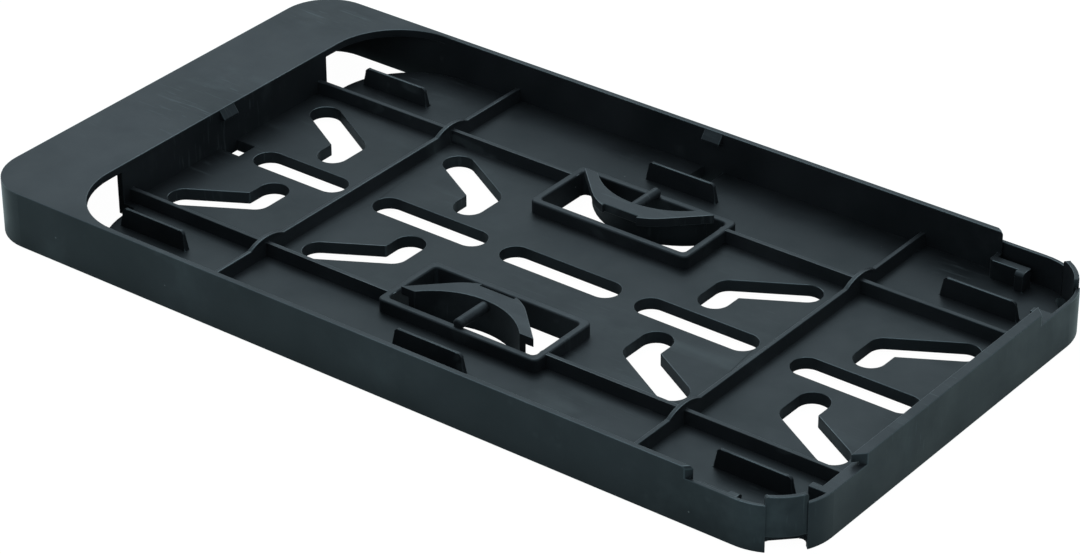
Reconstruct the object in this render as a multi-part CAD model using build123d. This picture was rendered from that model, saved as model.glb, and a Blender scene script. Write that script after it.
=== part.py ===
"""Number plate holder: a moulded tray with slotted floor, spring windows and snap noses.

One solid, one node.  Millimetres, +Z up, origin at the bottom centre of the bounding box.
The floor pattern (slots, ribs, fins, windows) has its own centre line at x = PAT_X,
because the wide band at the -X end moves the middle of the tray towards +X.
Heights named with _H or _TOP are measured from the top of the floor unless noted.
"""
import os
from math import atan2, cos, degrees, hypot, radians, sin, sqrt, tan

from build123d import *

# Outside of the tray
LENGTH = 195.2          # outer length, along X
WIDTH = 104.8           # outer width, along Y
HEIGHT = 12.1           # wall top above the wall bottom
FLOOR_UP = 0.6          # the underside of the floor stands clear of what the walls rest on
FLOOR_T = 2.6           # floor thickness
WALL_T = 1.2            # thickness of the long and end walls
CORNER_R = 12.5         # outer corner radius at the +X end

# Wide band over the -X end
BAND_END_R = 10.8       # outer corner radius at this end
BAND_W = 19.3           # outer end to the inner edge of the band
BAND_T = 1.7            # thickness of the band's top plate
BAND_R = 16.0           # inner corner radius, where the band runs into the long walls
BAND_WALL_T = 1.6       # wall below the inner edge
BAND_WALL_HALF = 31.4   # half length of that wall
FLOOR_GAP = 2.6         # floor edge stands back from the band edge at the corners
FLOOR_R = 18.0          # corner radius of the floor there

# Floor pattern, measured from its centre line
PAT_X = 7.4             # pattern centre line from the origin
SLOT_W = 6.5            # width of every slot
SLOT_MID_HALF = 14.1    # half length of the middle straight slot
SLOT_IN = (18.6, 46.3)  # inner straight slots, start and end
SLOT_OUT = 54.5         # outer straight slots start here
SLOT_OUT_END = 82.2     # and end here on the +X side
HOLE_LAND = 2.9         # on the -X side they end this far from the core hole
LEG_X = (30.0, 65.5)    # legs of the bent slots
LEG_Y = 9.4             # centre of the leg's round end
BEND_Y = 14.6           # bend of the slot's centre line
BEND_RUN = 12.75        # run of the sloping part along X
BEND_ANGLE = 30.0       # its slope, degrees

# Ribs on the floor, wider at the foot than at the top
RIB_H = 2.7
RIB_TOP_T = 0.9
RIB_FOOT_T = 1.7
RIB_Y = 28.95           # long ribs
RIB_X = 50.2            # cross ribs
HUMP_H = 1.25           # the cross ribs rise where they pass the long ribs
HUMP_HALF = 4.9

# Upright fins, tapered in length and thickness
FIN_H = 4.1
FIN_TOP_T = 0.6
FIN_FOOT_T = 1.3
FIN_TOP_L = 15.8
FIN_FOOT_L = 17.3
FIN_R = 1.1             # rounded upper corners
FIN_MID_BACK = 12.0     # middle fins, from the outside of the long wall
FIN_END_BACK = 14.9     # fins near the ends
FIN_END_X = 71.9        # their middle

# Windows and their rims
WIN_HALF = 17.5         # half length of the opening
WIN_Y = (16.6, 31.0)    # inner and outer edge of the opening
WIN_R = 0.9             # corner radius of the opening
RIM_T = 1.65
RIM_H = 2.8
RIM_R = 1.3             # outer corner radius of the rim
RIM_ROUND = 0.45        # rounding of the rim's upper edges

# Spring bows in the windows
BOW_TOP = 4.85
CAP_T = 1.9             # flat cap of the bow
CAP_END_GAP = 1.9       # its ends stop short of the window's outer edge
CAP_IN_R = 17.0         # hollow side
CAP_IN_GAP = 7.5        # apex of the hollow side to the window's outer edge
CAP_OUT_R = 12.5        # full side
CAP_OUT_GAP = 1.8       # apex of the full side to the window's inner edge
CAP_FLANK = 44.5        # slope of the straight flanks, degrees
RELIEF_HALF = 4.1       # relief in the middle of the full side
RELIEF_D = 1.45
LEAF_T = 1.15           # upright leaf from the cap to the underside, flush with the hollow side
STUB_R = 1.1            # round stub that carries the bow
STUB_SINK = 0.5         # it sinks this deep into the top of the rim
STUB_SEAT = 1.0         # and runs this far over it
STUB_ROUND = 0.5        # its end is rounded

# Snap noses and the core holes below them
NOSE_W = 4.4
NOSE_REACH = 1.3
NOSE_START = 0.2        # start of the slope below the wall top
NOSE_DROP = 1.7         # height of the slope
NOSE_LAND = 0.5         # upright tip
CORE_HOLE = 4.9         # square hole in the floor

# The +X end: lip, ledges, low skin, hooks and corner tabs
LOW_L = 23.1            # the corners are cut down to a skin beyond a diagonal this far from the corner
WALL_END_CUT = 0.4      # bevel on top of the long walls' slanting ends
SKIN_T = 0.8            # low thin skin beyond the diagonal
SKIN_H = 6.6
LIP_W = 2.2             # lip on the end wall, measured from outside
LIP_T = 1.7
LEDGE_W = 2.55          # ledge beside the lip, measured from outside
LEDGE_L_NEAR = 11.9     # its length on the -Y side, from the end of the lip
LEDGE_L_FAR = 5.0       # and on the +Y side
LEDGE_FOOT_W = 4.6      # its end turns inwards
LEDGE_FOOT_T = 1.6
HOOK_START = 0.1        # hook inside the skin, from the outer end of the high wall
HOOK_H = 4.1
HOOK_L = 8.45
HOOK_BACK = 2.45        # its long side, from the outside of the skin
HOOK_T = 1.85
HOOK_FOOT_L = 3.05      # its short side, over all
HOOK_FOOT_T = 1.95
HOOK_FOOT_R = 0.9       # the top of the short side is rounded off at its end
HOOK_WEB_T = 0.95       # web that ties the hook to the wall
HOOK_BEND_R = 0.8       # outer corner between the web and the long side
TAB_HALF = 3.75         # corner tab, half width
TAB_H = 8.3
TAB_SET = 0.25          # the tab stands back from the skin
TAB_T = 1.0
TAB_LAP = 0.1           # its ends run into the skin
TAB_R = 0.6             # rounded upper corners
NOTCH_D = 3.3           # the floor is cut away below the tab, measured from outside
NOTCH_R = 1.0           # inner corners of that notch

# Sizes that follow from those above
X0, X1 = -LENGTH / 2, LENGTH / 2
HALF_W = WIDTH / 2
IN_HALF_W = HALF_W - WALL_T
BAND_X = X0 + BAND_W
FZ = FLOOR_UP + FLOOR_T  # top of the floor
CORNER_X, CORNER_Y = X1 - CORNER_R, HALF_W - CORNER_R
LOW_X, LOW_Y = X1 - LOW_L, HALF_W - LOW_L
WIN_Y0, WIN_Y1 = WIN_Y
OVER = 1.0              # overshoot of cutting tools


def box(x0, x1, y0, y1, z0, z1):
    """A box between two corners."""
    return Pos((x0 + x1) / 2, (y0 + y1) / 2, (z0 + z1) / 2) * Box(x1 - x0, y1 - y0, z1 - z0)


def prism(sketch, z0, z1):
    """A plan sketch pulled up from z0 to z1."""
    return extrude(Pos(0, 0, z0) * sketch, z1 - z0)


def both(shape):
    """A shape together with its mirror image across the middle plane y = 0."""
    return shape + mirror(shape, Plane.XZ)


def outline(inset):
    """Plan of the tray, moved in from the outside."""
    plan = Rectangle(LENGTH - 2 * inset, WIDTH - 2 * inset)
    plan = fillet(plan.vertices().group_by(Axis.X)[0], BAND_END_R - inset)
    return fillet(plan.vertices().group_by(Axis.X)[-1], CORNER_R - inset)


def bay(x0, radius):
    """Plan of the space between the walls from x0 to the +X end, its -X corners rounded."""
    plan = Pos((x0 + X1) / 2, 0) * Rectangle(X1 - x0, 2 * IN_HALF_W)
    return fillet(plan.vertices().group_by(Axis.X)[0], radius) & outline(WALL_T)


def slot(x0, y0, x1, y1):
    """A round-ended slot between two end centres, cut through the floor."""
    turn = degrees(atan2(y1 - y0, x1 - x0))
    plan = SlotCenterToCenter(hypot(x1 - x0, y1 - y0), SLOT_W, rotation=turn)
    return prism(Pos((x0 + x1) / 2, (y0 + y1) / 2) * plan, -OVER, FZ + OVER)


def taper(foot, top, height, depth):
    """A bar along X with a trapezoid section in Y and Z, centred on its foot."""
    section = Polyline((-foot / 2, 0), (foot / 2, 0), (top / 2, height), (-top / 2, height), close=True)
    return extrude(Plane.YZ * make_face(section), depth / 2, both=True)


def shell():
    """Walls, floor and the wide band."""
    walls = prism(outline(0) - outline(WALL_T), 0, HEIGHT)
    floor = prism(bay(BAND_X + FLOOR_GAP, FLOOR_R), FLOOR_UP, FZ)
    floor += box(BAND_X - BAND_WALL_T, CORNER_X, -BAND_WALL_HALF, BAND_WALL_HALF, FLOOR_UP, FZ)
    band = prism(outline(0) - bay(BAND_X, BAND_R), HEIGHT - BAND_T, HEIGHT)
    band &= box(X0, BAND_X + BAND_R, -HALF_W, HALF_W, 0, HEIGHT)
    wall = box(BAND_X - BAND_WALL_T, BAND_X, -BAND_WALL_HALF, BAND_WALL_HALF, FLOOR_UP, HEIGHT)
    return walls + floor + band + wall


def far_end(tray):
    """Lip, low skin, ledges, hooks and corner tabs at the +X end."""
    top = HEIGHT + OVER
    tray += box(X1 - LIP_W, X1, -LOW_Y - LIP_W, LOW_Y + LIP_W, HEIGHT - LIP_T, HEIGHT)
    beyond = make_face(Polyline((LOW_X - OVER, HALF_W + OVER), (X1 + OVER, LOW_Y - OVER),
                                (X1 + OVER, HALF_W + OVER), close=True))
    tray -= both(prism(beyond & outline(SKIN_T), FZ, top) + prism(beyond, FZ + SKIN_H, top))
    side = WALL_END_CUT * sqrt(2)
    tray -= both(Pos(LOW_X, HALF_W, HEIGHT) * Rot(0, 0, 45) * Rot(0, 45, 0) * Box(side, 4 * WALL_T, side))
    return corner_tab(tray + ledge(LEDGE_L_FAR) + mirror(ledge(LEDGE_L_NEAR), Plane.XZ) + both(hook()))


def ledge(length):
    """Ledge of the +Y corner, beside the lip, with its foot turned inwards."""
    end, inner, top = LOW_Y + length, X1 - LEDGE_W, FZ + SKIN_H
    plan = make_face(Polyline((X1 - SKIN_T / 2, LOW_Y), (X1 - SKIN_T / 2, end), (X1 - LEDGE_FOOT_W, end),
                              (X1 - LEDGE_FOOT_W, end - LEDGE_FOOT_T), (inner, end - LEDGE_FOOT_T),
                              (inner, LOW_Y), close=True))
    return prism(plan & outline(SKIN_T / 2), FZ, top)


def hook():
    """Hook of one corner: a long side, a short foot and the web that ties it to the wall."""
    x0, y1 = LOW_X + HOOK_START, HALF_W - HOOK_BACK
    x1, y0 = x0 + HOOK_L, y1 - HOOK_T
    y_end, y_wall = y1 - HOOK_FOOT_L, IN_HALF_W + WALL_T / 4
    plan = make_face(Polyline((x0, y_wall), (x0, y0), (x1 - HOOK_FOOT_T, y0), (x1 - HOOK_FOOT_T, y_end),
                              (x1, y_end), (x1, y1), (x0 + HOOK_WEB_T, y1), (x0 + HOOK_WEB_T, y_wall),
                              close=True))
    bend = plan.vertices().sort_by_distance((x0, y0, 0))[0]
    solid = prism(fillet(bend, HOOK_BEND_R), FZ, FZ + HOOK_H)
    tip = solid.edges().filter_by(Axis.X).sort_by_distance((x1, y_end, FZ + HOOK_H))[0]
    return fillet(tip, HOOK_FOOT_R)


def corner_tab(tray):
    """Swap the skin round each corner's diagonal for a higher tab, with a notch in the floor below it."""
    diagonal = Pos(CORNER_X, CORNER_Y) * Rot(0, 0, 45)
    depth = NOTCH_D + OVER
    notch = Pos(CORNER_R - NOTCH_D + depth / 2, 0) * Rectangle(depth, 2 * TAB_HALF)
    notch = fillet(notch.vertices().group_by(Axis.X)[0], NOTCH_R)
    tray -= both(diagonal * prism(notch, -OVER, FZ) + diagonal * prism(
        Pos(CORNER_R, 0) * Rectangle(4 * TAB_T, 2 * TAB_HALF), FZ - OVER, HEIGHT + OVER))
    r1, half = CORNER_R - TAB_SET, TAB_HALF + TAB_LAP
    face = Pos(0, FZ + TAB_H / 2) * Rectangle(2 * half, TAB_H)
    face = fillet(face.vertices().group_by(Axis.Y)[-1], TAB_R)
    tab = prism(Circle(r1) - Circle(r1 - TAB_T), FZ, FZ + TAB_H) & extrude(Plane.YZ * face, CORNER_R)
    return tray + both(diagonal * tab)


def ribs():
    """Long ribs, cross ribs with their humps, and the fins."""
    mid = (BAND_X + X1 - WALL_T / 2) / 2
    found = Pos(mid, RIB_Y, FZ) * taper(RIB_FOOT_T, RIB_TOP_T, RIB_H, X1 - WALL_T / 2 - BAND_X)
    base = RIB_H / 2
    arch = make_face([Line((-HUMP_HALF, base), (HUMP_HALF, base)), Line((HUMP_HALF, base), (HUMP_HALF, RIB_H)),
                      ThreePointArc((HUMP_HALF, RIB_H), (0, RIB_H + HUMP_H), (-HUMP_HALF, RIB_H)),
                      Line((-HUMP_HALF, RIB_H), (-HUMP_HALF, base))])
    hump = extrude(Plane.YZ * arch, RIB_TOP_T / 2, both=True)
    for side in (-1, 1):
        x = PAT_X + side * RIB_X
        cross = Rot(0, 0, 90) * taper(RIB_FOOT_T, RIB_TOP_T, RIB_H, IN_HALF_W)
        found += Pos(x, IN_HALF_W / 2, FZ) * cross + Pos(x, RIB_Y, FZ) * hump
        found += Pos(PAT_X + side * FIN_END_X, HALF_W - FIN_END_BACK, FZ) * fin()
    found += Pos(PAT_X, HALF_W - FIN_MID_BACK, FZ) * fin()
    return both(found)


def fin():
    """An upright plate along X, its foot at the origin, with rounded upper corners."""
    front = make_face(Polyline((-FIN_FOOT_L / 2, 0), (FIN_FOOT_L / 2, 0), (FIN_TOP_L / 2, FIN_H),
                               (-FIN_TOP_L / 2, FIN_H), close=True))
    front = fillet(front.vertices().group_by(Axis.Y)[-1], FIN_R)
    return extrude(Plane.XZ * front, FIN_FOOT_T, both=True) & taper(FIN_FOOT_T, FIN_TOP_T, FIN_H, FIN_FOOT_L)


def window(grow, radius, z0, z1):
    """The space of one window, made larger by grow on every side."""
    plan = RectangleRounded(2 * (WIN_HALF + grow), WIN_Y1 - WIN_Y0 + 2 * grow, radius)
    return prism(Pos(PAT_X, (WIN_Y0 + WIN_Y1) / 2) * plan, z0, z1)


def rim():
    """Raised rim round one window, its upper edges rounded."""
    ring = window(RIM_T, RIM_R, FZ - FLOOR_T / 2, FZ + RIM_H) - window(0, WIN_R, 0, FZ + RIM_H + OVER)
    return fillet(ring.faces().sort_by(Axis.Z)[-1].edges(), RIM_ROUND)


def bow():
    """Spring bow of one window: flat cap, upright leaf and the stub that carries it."""
    end, out, hollow = WIN_Y1 - CAP_END_GAP, WIN_Y0 + CAP_OUT_GAP, WIN_Y1 - CAP_IN_GAP
    slope = radians(CAP_FLANK)
    tx, ty = CAP_OUT_R * sin(slope), out + CAP_OUT_R * (1 - cos(slope))
    ex = tx + (end - ty) / tan(slope)
    ix = sqrt(CAP_IN_R ** 2 - (hollow + CAP_IN_R - end) ** 2)
    cap = make_face([Line((-ex, end), (-tx, ty)), ThreePointArc((-tx, ty), (0, out), (tx, ty)),
                     Line((tx, ty), (ex, end)), Line((ex, end), (ix, end)),
                     ThreePointArc((ix, end), (0, hollow), (-ix, end)), Line((-ix, end), (-ex, end))])
    cap -= Pos(0, out) * Rectangle(2 * RELIEF_HALF, 2 * RELIEF_D)
    leaf = Pos(0, hollow + CAP_IN_R) * (Circle(CAP_IN_R + LEAF_T) - Circle(CAP_IN_R))
    leaf &= Pos(0, (out + end) / 2) * Rectangle(2 * ex, end - out)
    y0, y1 = hollow - LEAF_T / 2, WIN_Y1 + STUB_SEAT
    axis_z = FZ + RIM_H + STUB_R - STUB_SINK
    stub = Pos(0, (y0 + y1) / 2, axis_z) * Rot(90, 0, 0) * Cylinder(STUB_R, y1 - y0)
    stub = fillet(stub.edges().sort_by(Axis.Y)[-1], STUB_ROUND)
    top = FZ + BOW_TOP
    return Pos(PAT_X, 0) * (prism(cap, top - CAP_T, top) + prism(leaf, FLOOR_UP, top - CAP_T / 2) + stub)


def slots():
    """Every slot of the floor, as one cutting tool."""
    r = SLOT_W / 2
    cut = slot(PAT_X - SLOT_MID_HALF + r, 0, PAT_X + SLOT_MID_HALF - r, 0)
    outer_end = {1: SLOT_OUT_END, -1: PAT_X - BAND_X - CORE_HOLE - HOLE_LAND}
    for side in (-1, 1):
        for a, b in (SLOT_IN, (SLOT_OUT, outer_end[side])):
            cut += slot(PAT_X + side * (a + r), 0, PAT_X + side * (b - r), 0)
        for leg in LEG_X:
            x, run = PAT_X + side * leg, side * BEND_RUN
            rise = BEND_RUN * tan(radians(BEND_ANGLE))
            cut += both(slot(x, LEG_Y, x, BEND_Y) + slot(x, BEND_Y, x + run, BEND_Y + rise))
    return cut


def nose():
    """A snap nose on a wall at x = 0, reaching towards +X."""
    z = HEIGHT - NOSE_START
    low = z - NOSE_DROP - NOSE_LAND
    back = -WALL_T / 2
    side = make_face(Polyline((back, z), (0, z), (NOSE_REACH, z - NOSE_DROP), (NOSE_REACH, low),
                              (back, low), close=True))
    return extrude(Plane.XZ * side, NOSE_W / 2, both=True)


def holder():
    """The finished moulding."""
    solid = far_end(shell()) + ribs() + both(rim())
    solid -= both(window(0, WIN_R, -OVER, FZ + RIM_H + OVER)) + slots()
    half = CORE_HOLE / 2
    solid -= box(BAND_X, BAND_X + CORE_HOLE, -half, half, -OVER, FZ + OVER)
    solid -= both(box(PAT_X - half, PAT_X + half, IN_HALF_W - CORE_HOLE, IN_HALF_W, -OVER, FZ + OVER))
    solid += both(bow())
    solid += Pos(BAND_X, 0) * nose()
    return solid + both(Pos(PAT_X, IN_HALF_W) * Rot(0, 0, -90) * nose())


part = holder()
size = part.bounding_box().size
print("solids", len(part.solids()), "size", round(size.X, 2), round(size.Y, 2), round(size.Z, 2))
print("volume", round(part.volume / 1000, 2), "cm3")
os.makedirs("parts", exist_ok=True)
export_step(part.solids()[0], "parts/holder.step")
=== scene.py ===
# %% [markdown]
# # A number plate holder in charcoal plastic
#
# The real object is a shallow injection moulded tray. A plate snaps in below small noses on the walls,
# two springy bows press it up, and the slots in the floor take the fixing screws.
# All of that shape is already in the solid model. It could be modelled again here, but then two shapes
# would have to be kept alike. So this lesson loads the solid as it is and spends its effort on what the
# solid lacks: rounded edges that catch the light, and a plastic that looks handled.

# %% Load the solid model
from math import radians

import bpy
from mathutils import Matrix, Vector


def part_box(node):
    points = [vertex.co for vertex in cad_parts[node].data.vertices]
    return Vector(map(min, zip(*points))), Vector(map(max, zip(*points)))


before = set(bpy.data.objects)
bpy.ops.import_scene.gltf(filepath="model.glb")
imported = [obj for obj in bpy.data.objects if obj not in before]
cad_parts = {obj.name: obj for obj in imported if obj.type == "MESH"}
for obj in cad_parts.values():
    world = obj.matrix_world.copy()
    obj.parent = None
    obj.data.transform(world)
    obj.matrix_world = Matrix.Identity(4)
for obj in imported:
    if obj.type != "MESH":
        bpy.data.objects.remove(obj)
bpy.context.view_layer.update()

MM_IN_METRE = 1000

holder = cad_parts["holder"]
low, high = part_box("holder")
size_mm = [round(s * MM_IN_METRE, 1) for s in high - low]
print("holder:", len(holder.data.polygons), "faces, size in mm", size_mm)

# %% [markdown]
# ## The camera
#
# A camera could be aimed by eye, but a long lens shows every degree. The straight walls, ribs and slots
# give enough to work out the place of the camera, so it is set from three turns and a distance:
# turn about the upright axis, look down, then tilt the frame a very little.

# %% Set the camera
CAMERA_TURN = radians(37.72)       # 0 looks along +Y
CAMERA_DOWN = radians(30.58)
CAMERA_TILT = radians(-0.33)
CAMERA_DISTANCE = 0.7433           # metres, as every length here
CAMERA_AIM = Vector((0.00297, -0.00066, 0.00072))
CAMERA_NEAREST = 0.01
LENS_MM = 127.2
SENSOR_MM = 36.0

camera_turns = (Matrix.Rotation(CAMERA_TURN, 4, "Z") @ Matrix.Rotation(radians(90) - CAMERA_DOWN, 4, "X")
                @ Matrix.Rotation(CAMERA_TILT, 4, "Z"))
step_back = Matrix.Translation((0, 0, CAMERA_DISTANCE))
camera_data = bpy.data.cameras.new("camera")
camera_data.lens = LENS_MM
camera_data.sensor_width = SENSOR_MM
camera_data.clip_start = CAMERA_NEAREST
camera = bpy.data.objects.new("camera", camera_data)
camera.matrix_world = Matrix.Translation(CAMERA_AIM) @ camera_turns @ step_back
bpy.context.scene.collection.objects.link(camera)
bpy.context.scene.camera = camera
print("camera at", [round(v, 4) for v in camera.matrix_world.translation])

# %% [markdown]
# ## One helper for nodes
#
# Later steps are built from nodes: the marks on the edges, the plastic, the sheet and the sky. Each node
# could be added, set and linked line by line, but that hides what the nodes do. So one helper adds a node,
# makes its settings and fills its inputs, each by a link or by a fixed value.

# %% A helper for building nodes
def add_node(tree, kind, inputs=None, **settings):
    """A node with its settings made and its inputs filled, each by a link from a socket or a fixed value."""
    node = tree.nodes.new(kind)
    for name, value in settings.items():
        setattr(node, name, value)
    for name, value in (inputs or {}).items():
        if isinstance(value, bpy.types.NodeSocket):
            tree.links.new(value, node.inputs[name])
        else:
            node.inputs[name].default_value = value
    return node


print("node helper ready")

# %% [markdown]
# ## Which edges are round
#
# No mould has a perfectly sharp edge. The thin pale lines along the tops of the ribs and walls are light
# caught by edges about a sixth of a millimetre round. A bevel can pick edges by their angle, but that takes
# the inward corners at the feet of the ribs too, where the bevels run into each other. So a few geometry
# nodes come first: they mark the edges that turn outwards and keep the inward ones sharp.

# %% Mark the outward edges
EDGE_ANGLE = radians(38)           # a sharper turn is an edge
EDGE_LEAST = 0.0002                # shorter edges are left as they are
BEVEL_MARK = "bevel_weight_edge"


def more_than(tree, value, least):
    """True where a value is above a limit."""
    return add_node(tree, "FunctionNodeCompare", {0: value, 1: least}, operation="GREATER_THAN").outputs[0]


def outward_edges():
    """Geometry nodes that mark the outward edges for the bevel and keep the other edges sharp."""
    tree = bpy.data.node_groups.new("outward_edges", "GeometryNodeTree")
    for way in ("INPUT", "OUTPUT"):
        tree.interface.new_socket("Geometry", in_out=way, socket_type="NodeSocketGeometry")
    turn = add_node(tree, "GeometryNodeInputMeshEdgeAngle")
    ends = add_node(tree, "GeometryNodeInputMeshEdgeVertices")
    span = add_node(tree, "ShaderNodeVectorMath",
                    {0: ends.outputs["Position 1"], 1: ends.outputs["Position 2"]}, operation="DISTANCE")
    outward = more_than(tree, turn.outputs["Signed Angle"], EDGE_ANGLE)
    long_enough = more_than(tree, span.outputs["Value"], EDGE_LEAST)
    round_it = add_node(tree, "FunctionNodeBooleanMath", {0: outward, 1: long_enough}, operation="AND")
    turned = more_than(tree, turn.outputs["Unsigned Angle"], EDGE_ANGLE)
    leave_it = add_node(tree, "FunctionNodeBooleanMath",
                        {0: turned, 1: round_it.outputs[0]}, operation="NIMPLY")
    start = add_node(tree, "NodeGroupInput")
    sharp = add_node(tree, "GeometryNodeSetShadeSmooth",
                     {"Geometry": start.outputs[0], "Selection": leave_it.outputs[0],
                      "Shade Smooth": False}, domain="EDGE")
    marked = add_node(tree, "GeometryNodeStoreNamedAttribute",
                      {"Geometry": sharp.outputs[0], "Name": BEVEL_MARK, "Value": round_it.outputs[0]},
                      data_type="FLOAT", domain="EDGE")
    add_node(tree, "NodeGroupOutput", {0: marked.outputs[0]})
    return tree


edge_marks = outward_edges()
print("edge marks:", len(edge_marks.nodes), "nodes")

# %% [markdown]
# ## Rounded edges
#
# The mesh could be bevelled by hand, but the solid has to stay as it is, so modifiers do it, one after
# another: weld the corners that the loaded mesh keeps split, mark the edges, bevel the marked ones, weld
# again where two bevels end in one point, and weight the normals so that the large flats stay flat.

# %% Bevel the moulded edges
EDGE_ROUND = 0.00016
EDGE_STEPS = 2
CORNER_GAP = 0.000002              # corners this close are one corner
FLAT_WEIGHT = 50

weld = holder.modifiers.new("weld_corners", "WELD")
weld.merge_threshold = CORNER_GAP
marks = holder.modifiers.new("outward_edges", "NODES")
marks.node_group = edge_marks
bevel = holder.modifiers.new("moulded_edges", "BEVEL")
bevel.width = EDGE_ROUND
bevel.segments = EDGE_STEPS
bevel.limit_method = "WEIGHT"
bevel.edge_weight = BEVEL_MARK
bevel.use_clamp_overlap = False
bevel.miter_outer = "MITER_ARC"
rejoin = holder.modifiers.new("join_corners", "WELD")
rejoin.merge_threshold = CORNER_GAP
normals = holder.modifiers.new("flat_faces", "WEIGHTED_NORMAL")
normals.weight = FLAT_WEIGHT
normals.keep_sharp = True
bpy.context.view_layer.update()
rounded = holder.evaluated_get(bpy.context.evaluated_depsgraph_get())
print("faces after rounding:", len(rounded.data.polygons))

# %% [markdown]
# ## Tools for the plastic
#
# A painted texture would need unwrapping. Noise in object coordinates needs none and has a true scale,
# because one unit is one metre: a noise scale of 1000 has features about a millimetre wide.
# A few small helpers keep the node building readable.

# %% Helpers for shader nodes
MIX_SHARE, MIX_FIRST, MIX_SECOND = 0, 6, 7     # inputs of a mix node that mixes colours
MIX_RESULT = 2                                 # and its output


def noise(tree, place, scale, detail=2.0, roughness=0.5):
    """Noise of a given scale and fineness at a place."""
    return add_node(tree, "ShaderNodeTexNoise", {"Vector": place, "Scale": scale, "Detail": detail,
                                                 "Roughness": roughness}).outputs["Fac"]


def remap(tree, value, low_in, high_in, low_out, high_out):
    """Stretch a value from one range to another, held at the ends."""
    return add_node(tree, "ShaderNodeMapRange", {"Value": value, "From Min": low_in, "From Max": high_in,
                                                 "To Min": low_out, "To Max": high_out}).outputs["Result"]


def combine(tree, how, a, b=0.0):
    """One arithmetic step on a socket, or between two sockets, or a socket and a number."""
    return add_node(tree, "ShaderNodeMath", {0: a, 1: b}, operation=how).outputs["Value"]


def blend_colours(tree, share, first, second):
    """Mix two colours, each a socket or a fixed colour, by a share from 0 to 1."""
    first, second = [(*c, 1.0) if isinstance(c, tuple) else c for c in (first, second)]
    mix = add_node(tree, "ShaderNodeMix", {MIX_SHARE: share, MIX_FIRST: first, MIX_SECOND: second},
                   data_type="RGBA")
    return mix.outputs[MIX_RESULT]


print("shader helpers ready: noise, remap, combine, blend_colours")

# %% [markdown]
# ## Streaks and specks
#
# Rubbed plastic has marks with a direction, and dust has none. Marks could be drawn one by one, but noise
# that is stretched along one axis and cut down to its peaks gives as many as are wanted, at any angle.
# Dust is a crowd of random cells with a small round dot in a few of them.

# %% Streaks and dust as reusable layers
SPECK_CORE = 0.6                   # share of a speck's radius at full strength
PICK_FADE = 0.01                   # so narrow that a cell has its speck or has none


def streaks(tree, place, angle, along, across, least, fade, detail=1.0):
    """Parallel streaks: noise drawn out along one direction and cut down to its peaks."""
    mapping = add_node(tree, "ShaderNodeMapping", {"Vector": place, "Rotation": (0, 0, radians(angle)),
                                                   "Scale": (along, across, along)})
    drawn = noise(tree, mapping.outputs["Vector"], scale=1.0, detail=detail)
    return remap(tree, drawn, least, least + fade, 0.0, 1.0)


def specks(tree, place, scale, size, share):
    """Round dust specks in a share of the cells round random points."""
    cells = add_node(tree, "ShaderNodeTexVoronoi", {"Vector": place, "Scale": scale})
    dot = remap(tree, cells.outputs["Distance"], size * SPECK_CORE, size, 1.0, 0.0)
    pick = add_node(tree, "ShaderNodeSeparateColor", {"Color": cells.outputs["Color"]})
    chosen = remap(tree, pick.outputs["Red"], 1.0 - share, 1.0 - share + PICK_FADE, 0.0, 1.0)
    return combine(tree, "MULTIPLY", dot, chosen)


print("layers ready: streaks, specks")

# %% [markdown]
# ## Worn places
#
# Hands, cloths and screws have rubbed the plastic: short crossing scratches and broad soft smears.
# Both could cover everything, but real wear comes in patches, so they are held inside one mask of
# worn places.

# %% Worn places and scratches
WORN_NOISE = (32.0, 5.0, 0.65)     # scale, detail, roughness
WORN_RANGE = (0.50, 0.66)          # part of the noise that counts as worn
FINE_SCRATCHES = (24.0, 130.0, 1500.0, 0.66, 0.06)      # angle, along, across, least, fade
CROSSING_SCRATCHES = (-61.0, 170.0, 1700.0, 0.68, 0.06)


def wear(tree, place):
    """Two masks: the worn places, and the fine scratches inside them."""
    worn = remap(tree, noise(tree, place, *WORN_NOISE), *WORN_RANGE, 0.0, 1.0)
    lines = combine(tree, "MAXIMUM", streaks(tree, place, *FINE_SCRATCHES),
                    streaks(tree, place, *CROSSING_SCRATCHES))
    return worn, combine(tree, "MULTIPLY", lines, worn)


print("scratches run at", FINE_SCRATCHES[0], "and", CROSSING_SCRATCHES[0], "degrees")

# %% [markdown]
# ## Painted shade on the floor
#
# The floor of the real tray looks darker than its band, and here that is painted shade. It could have a
# material of its own, but the tone and the marks run on across the whole moulding. So a mask finds the
# floor by its height and by the way it faces, and takes in the rounded rims of its openings.

# %% Find the floor for its painted shade
FLOOR_TOP = (0.0033, 0.0036)       # upward faces below this height are the inside of the floor
UPWARD = (0.2, 0.3)                # upward part of the normal, on the floor and on its rounded rims


def shaded_floor_mask(tree, place):
    """Where the floor's painted shade goes: 1 on the inside face of the floor and the rims of its openings,
    else 0.
    """
    normal = add_node(tree, "ShaderNodeNewGeometry").outputs["True Normal"]
    height = add_node(tree, "ShaderNodeSeparateXYZ", {0: place})
    facing = add_node(tree, "ShaderNodeSeparateXYZ", {0: normal})
    low_down = remap(tree, height.outputs["Z"], *FLOOR_TOP, 1.0, 0.0)
    return combine(tree, "MULTIPLY", low_down, remap(tree, facing.outputs["Z"], *UPWARD, 0.0, 1.0))


print("floor inside below", FLOOR_TOP[0] * MM_IN_METRE, "mm")
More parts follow.
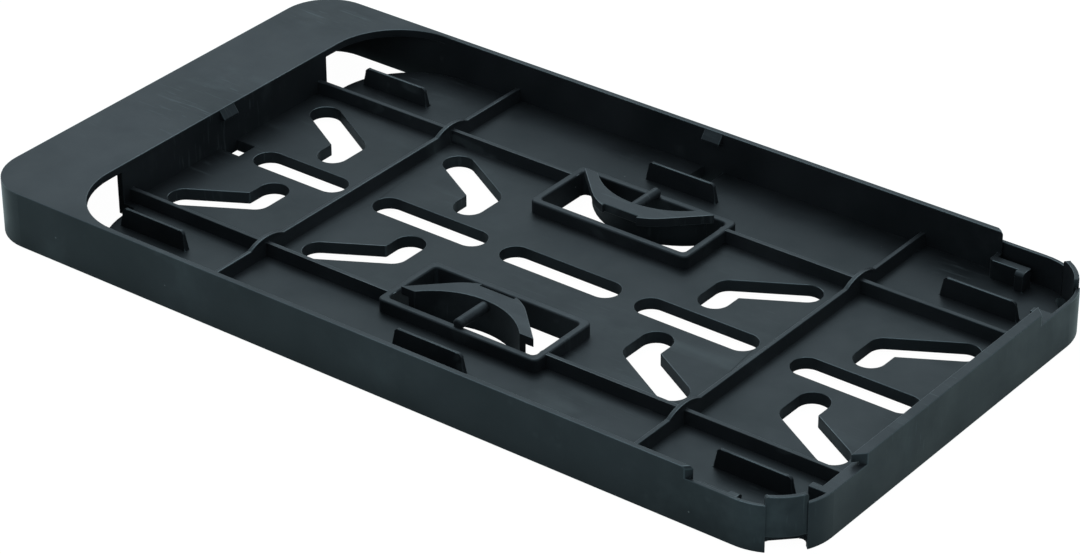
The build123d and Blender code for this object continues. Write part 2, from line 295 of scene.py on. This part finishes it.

# %% [markdown]
# ## Colour of the plastic
#
# The plastic is nearly black with a cold cast, and its tone drifts where the melt flowed. One flat colour
# would look like paint, so thin layers are mixed over each other: the drifting tone, the scratches, the
# smears, a few specks of dust, and last a painted shade on the floor.

# %% Mix the colour layers
NOISE_RANGE = (0.3, 0.7)           # nearly all noise lies in this range
TONE_NOISE = (55.0, 4.0)           # scale, detail
SCUFF_COLOUR = (0.060, 0.070, 0.074)
SCRATCH_SHARE = 0.6
SMEARS = (38.0, 22.0, 130.0, 0.54, 0.2, 3.0)            # angle, along, across, least, fade, detail
SMEAR_SHARE = 0.7
DUST = (210.0, 0.045, 0.16)        # cells to a metre, size of a speck in its cell, share of the cells
DUST_COLOUR = (0.22, 0.23, 0.23)
DUST_SHARE = 0.5
# painted shade: the share by which the inside of the floor is darkened towards black
FLOOR_PAINTED_SHADE = 0.48
BLACK = (0.0, 0.0, 0.0)


def plastic_colour(tree, place, dark, light, worn, lines):
    """Drifting tone between two colours, then scratches, smears, dust and a painted shade on the floor."""
    tone = remap(tree, noise(tree, place, *TONE_NOISE), *NOISE_RANGE, 0.0, 1.0)
    colour = blend_colours(tree, tone, dark, light)
    colour = blend_colours(tree, combine(tree, "MULTIPLY", lines, SCRATCH_SHARE), colour, SCUFF_COLOUR)
    wiped = combine(tree, "MULTIPLY", streaks(tree, place, *SMEARS), worn)
    colour = blend_colours(tree, combine(tree, "MULTIPLY", wiped, SMEAR_SHARE), colour, SCUFF_COLOUR)
    dust = specks(tree, place, *DUST)
    colour = blend_colours(tree, combine(tree, "MULTIPLY", dust, DUST_SHARE), colour, DUST_COLOUR)
    # painted shade on the inside of the floor
    shade = combine(tree, "MULTIPLY", shaded_floor_mask(tree, place), FLOOR_PAINTED_SHADE)
    return blend_colours(tree, shade, colour, BLACK)


print("colour layers: tone, scratches, smears, dust, floor")

# %% [markdown]
# ## Gloss and relief of the plastic
#
# The surface is semi-matt: the floor mirrors the ribs softly, and the gloss changes from place to place
# where it was touched. A single roughness would look too even, so noise moves it.
# The relief has two sizes: slow waves, because a moulded wall is never quite flat, and a fine grain.

# %% Roughness and bump
GLOSS_NOISE = (95.0, 5.0, 0.6)     # scale, detail, roughness
SCRATCH_ROUGHNESS = 0.12           # scratches are rougher by this
GRAIN_SCALE = 5200.0
GRAIN_HEIGHT = 0.02                # beside waves of height 1
WAVE_NOISE = (70.0, 1.0)           # scale, detail
SCRATCH_DEPTH = 0.03
RELIEF_STRENGTH = 0.25
RELIEF_HEIGHT = 0.0004


def plastic_roughness(tree, place, rough, lines):
    """Roughness that drifts between two values and rises in the scratches."""
    drift = remap(tree, noise(tree, place, *GLOSS_NOISE), *NOISE_RANGE, *rough)
    return combine(tree, "ADD", drift, combine(tree, "MULTIPLY", lines, SCRATCH_ROUGHNESS))


def plastic_relief(tree, place, lines):
    """Normal of a slightly wavy, finely grained and scratched surface."""
    grain = combine(tree, "MULTIPLY", noise(tree, place, GRAIN_SCALE), GRAIN_HEIGHT)
    height = combine(tree, "ADD", grain, noise(tree, place, *WAVE_NOISE))
    height = combine(tree, "SUBTRACT", height, combine(tree, "MULTIPLY", lines, SCRATCH_DEPTH))
    bump = add_node(tree, "ShaderNodeBump", {"Height": height, "Strength": RELIEF_STRENGTH,
                                             "Distance": RELIEF_HEIGHT})
    return bump.outputs["Normal"]


print("relief", RELIEF_HEIGHT * MM_IN_METRE, "mm high, at a strength of", RELIEF_STRENGTH)

# %% [markdown]
# ## The charcoal plastic
#
# The layers now meet in one shader for plastic. How strongly it mirrors could be moved by noise as well,
# but the roughness already breaks the mirror image up. So that is one fixed value, and a low one, because
# the real surface is finely matt.

# %% Charcoal plastic
PLASTIC_DARK = (0.0098, 0.0108, 0.0123)
PLASTIC_LIGHT = (0.0205, 0.0220, 0.0248)
PLASTIC_ROUGH = (0.36, 0.52)
PLASTIC_REFLECTION = 0.15
REFLECTION_TINT = (0.66, 0.90, 0.99)   # the plastic mirrors its surroundings colder than they are


def charcoal_plastic(name, dark, light, rough, reflection):
    """Cold black moulded plastic with its colour, gloss and relief."""
    material = bpy.data.materials.new(name)
    material.use_nodes = True
    tree = material.node_tree
    shader = tree.nodes["Principled BSDF"]
    shader.inputs["Specular IOR Level"].default_value = reflection
    shader.inputs["Specular Tint"].default_value = (*REFLECTION_TINT, 1.0)
    place = add_node(tree, "ShaderNodeTexCoord").outputs["Object"]
    worn, lines = wear(tree, place)
    tree.links.new(plastic_colour(tree, place, dark, light, worn, lines), shader.inputs["Base Color"])
    tree.links.new(plastic_roughness(tree, place, rough, lines), shader.inputs["Roughness"])
    tree.links.new(plastic_relief(tree, place, lines), shader.inputs["Normal"])
    return material


plastic = charcoal_plastic("charcoal_plastic", PLASTIC_DARK, PLASTIC_LIGHT, PLASTIC_ROUGH,
                           PLASTIC_REFLECTION)
holder.data.materials.clear()
holder.data.materials.append(plastic)
print("charcoal plastic:", len(plastic.node_tree.nodes), "nodes")

# %% [markdown]
# ## The edge finish and its painted highlight
#
# The rounded edges are polished by the mould, and their paler colour is a painted highlight for the light
# they catch. Edges could be found by their curvature in the shader, but the bevel can simply hand its new
# faces to a second material slot, which puts the polish and the painted highlight exactly on the edges.

# %% Polished edges with a painted highlight
# painted highlight: these edge colours are paler than the flats, for the light the edges catch
EDGE_HIGHLIGHT_DARK = (0.018, 0.020, 0.023)
EDGE_HIGHLIGHT_LIGHT = (0.034, 0.038, 0.041)
EDGE_ROUGH = (0.24, 0.36)
EDGE_REFLECTION = 0.3              # polished, so they mirror more than the flats
EDGE_SLOT = 1

edge_highlight_plastic = charcoal_plastic("painted_highlight_edge_plastic", EDGE_HIGHLIGHT_DARK, EDGE_HIGHLIGHT_LIGHT, EDGE_ROUGH, EDGE_REFLECTION)
holder.data.materials.append(edge_highlight_plastic)
bevel.material = EDGE_SLOT
print("edge finish on slot", bevel.material)

# %% [markdown]
# ## What a ray may see
#
# The holder lies on a white sheet below a white sky. A white background could be had by flooding the scene
# with light, but that would wash the plastic out. So sheet and sky ask each ray where it comes from: the
# camera sees them white, and the plastic gets less of that white.
# Below the holder little light gets in, so there the sheet carries a painted shadow, darker for everything
# but the camera: the walls of the slots and windows then stay nearly black.

# %% Shares of white, and the painted shadow below the holder
SHADE_FADE = 0.004


def seen_share(tree, direct, mirrored):
    """A share for rays from the camera or through glass, another for reflections, and 0 for the rest."""
    path = add_node(tree, "ShaderNodeLightPath")
    seen = combine(tree, "MAXIMUM", path.outputs["Is Camera Ray"], path.outputs["Is Transmission Ray"])
    glossy = combine(tree, "MULTIPLY", path.outputs["Is Glossy Ray"], mirrored)
    return combine(tree, "MAXIMUM", combine(tree, "MULTIPLY", seen, direct), glossy)


def shadow_below_holder(tree):
    """Where the sheet's painted shadow goes: 1 below the holder, fading to 0 at its outline."""
    place = add_node(tree, "ShaderNodeTexCoord").outputs["Object"]
    spot = add_node(tree, "ShaderNodeSeparateXYZ", {0: place})
    within = [remap(tree, combine(tree, "ABSOLUTE", spot.outputs[axis]), reach - SHADE_FADE, reach, 1.0, 0.0)
              for axis, reach in (("X", high.x), ("Y", high.y))]
    return combine(tree, "MULTIPLY", *within)


print("shade below the holder fades over", SHADE_FADE * MM_IN_METRE, "mm")

# %% [markdown]
# ## The white sheet
#
# The sheet could be plain paper, but its shadows would turn grey. So paper is mixed with a glow. To the
# camera it is nearly all glow and keeps a little of its real shadow, where the plastic mirrors it about
# half is glow, and as a source of light it is paper alone.

# %% White sheet
SHEET_HALF = 3.0
SHEET_DROP = 0.00002               # keeps the sheet from flickering against the underside
SHEET_CORNERS = ((-1, -1), (1, -1), (1, 1), (-1, 1))
SHEET_COLOUR = (0.80, 0.94, 0.94)          # cool, as the plastic sees it by daylight
# painted shadow: the colour of the paper below the holder
SHEET_PAINTED_SHADOW = (0.43, 0.46, 0.46)
MIRRORED_COLOUR = (0.80, 1.0, 1.0)
WHITE = (1.0, 1.0, 1.0)
SHEET_SELF_WHITE = 0.93            # share of the white that shadows can't take away
SHEET_MIRRORED_WHITE = 0.5         # the same share where the plastic mirrors the sheet
SHEET_GLOW = 1.06


def white_sheet():
    """Matt white that keeps a soft shadow."""
    material = bpy.data.materials.new("white_sheet")
    material.use_nodes = True
    tree = material.node_tree
    tree.nodes.clear()
    below = shadow_below_holder(tree)
    # painted shadow: the paper turns darker below the holder
    paper_colour = blend_colours(tree, below, SHEET_COLOUR, SHEET_PAINTED_SHADOW)
    paper = add_node(tree, "ShaderNodeBsdfDiffuse", {"Color": paper_colour})
    glow_colour = blend_colours(tree, seen_share(tree, 1.0, 0.0), MIRRORED_COLOUR, WHITE)
    glow = add_node(tree, "ShaderNodeEmission", {"Color": glow_colour, "Strength": SHEET_GLOW})
    # painted shadow in reflections: below the holder the plastic mirrors none of the glow
    mirrored = remap(tree, below, 0.0, 1.0, SHEET_MIRRORED_WHITE, 0.0)
    share = seen_share(tree, SHEET_SELF_WHITE, mirrored)
    mix = add_node(tree, "ShaderNodeMixShader", {0: share, 1: paper.outputs[0], 2: glow.outputs[0]})
    add_node(tree, "ShaderNodeOutputMaterial", {"Surface": mix.outputs[0]})
    return material


sheet_z = low.z - SHEET_DROP
corners = [(x * SHEET_HALF, y * SHEET_HALF, sheet_z) for x, y in SHEET_CORNERS]
sheet_mesh = bpy.data.meshes.new("sheet")
sheet_mesh.from_pydata(corners, [], [range(len(corners))])
sheet_mesh.materials.append(white_sheet())
sheet = bpy.data.objects.new("sheet", sheet_mesh)
bpy.context.scene.collection.objects.link(sheet)
print("sheet at z", round(sheet_z, 5))

# %% [markdown]
# ## The sky
#
# The outer walls of the real tray are lit softly from all round. Several weak lamps could do that, but a
# plain sky does it with one number. It is white to the camera, cool and as bright where the plastic mirrors
# it, and much weaker as a source of light.

# %% Sky
SKY_FILL = 0.40                    # light from all round, for the shadow sides
SKY_COLOUR = (0.82, 0.98, 1.05)    # daylight, as the plastic sees it

world = bpy.data.worlds.new("sky")
world.use_nodes = True
bpy.context.scene.world = world
sky_tree = world.node_tree
sky = sky_tree.nodes["Background"]
sky_colour = blend_colours(sky_tree, seen_share(sky_tree, 1.0, 0.0), SKY_COLOUR, WHITE)
sky_tree.links.new(sky_colour, sky.inputs["Color"])
sky_level = remap(sky_tree, seen_share(sky_tree, 1.0, 1.0), 0.0, 1.0, SKY_FILL, 1.0)
sky_tree.links.new(sky_level, sky.inputs["Strength"])
print("sky fill", SKY_FILL)

# %% [markdown]
# ## The lamp
#
# The band and the floor of the real tray shine, and the ribs are nearly black towards us. A lamp beside the
# camera would light both alike, so a large soft one stands behind and above the holder: level faces catch
# it, and faces that look back at the camera don't.

# %% Soft lamp
LAMP_AT = Vector((-0.42, 0.48, 1.15))
LAMP_SIZE = 1.1
LAMP_WATTS = 15.0
LAMP_COLOUR = (0.88, 0.98, 1.04)

lamp_data = bpy.data.lights.new("soft_lamp", "AREA")
lamp_data.energy = LAMP_WATTS
lamp_data.size = LAMP_SIZE
lamp_data.color = LAMP_COLOUR
lamp = bpy.data.objects.new("soft_lamp", lamp_data)
lamp.location = LAMP_AT
lamp.rotation_euler = (-LAMP_AT).to_track_quat("-Z", "Y").to_euler()
bpy.context.scene.collection.objects.link(lamp)
print("lamp", LAMP_WATTS, "W at", tuple(round(v, 2) for v in LAMP_AT))

# %% [markdown]
# ## Finish
#
# The view transform could add contrast of its own, but the plain one shows colours as they were written.

# %% Close the scene
bpy.context.scene.view_settings.view_transform = "Standard"
bpy.context.view_layer.update()
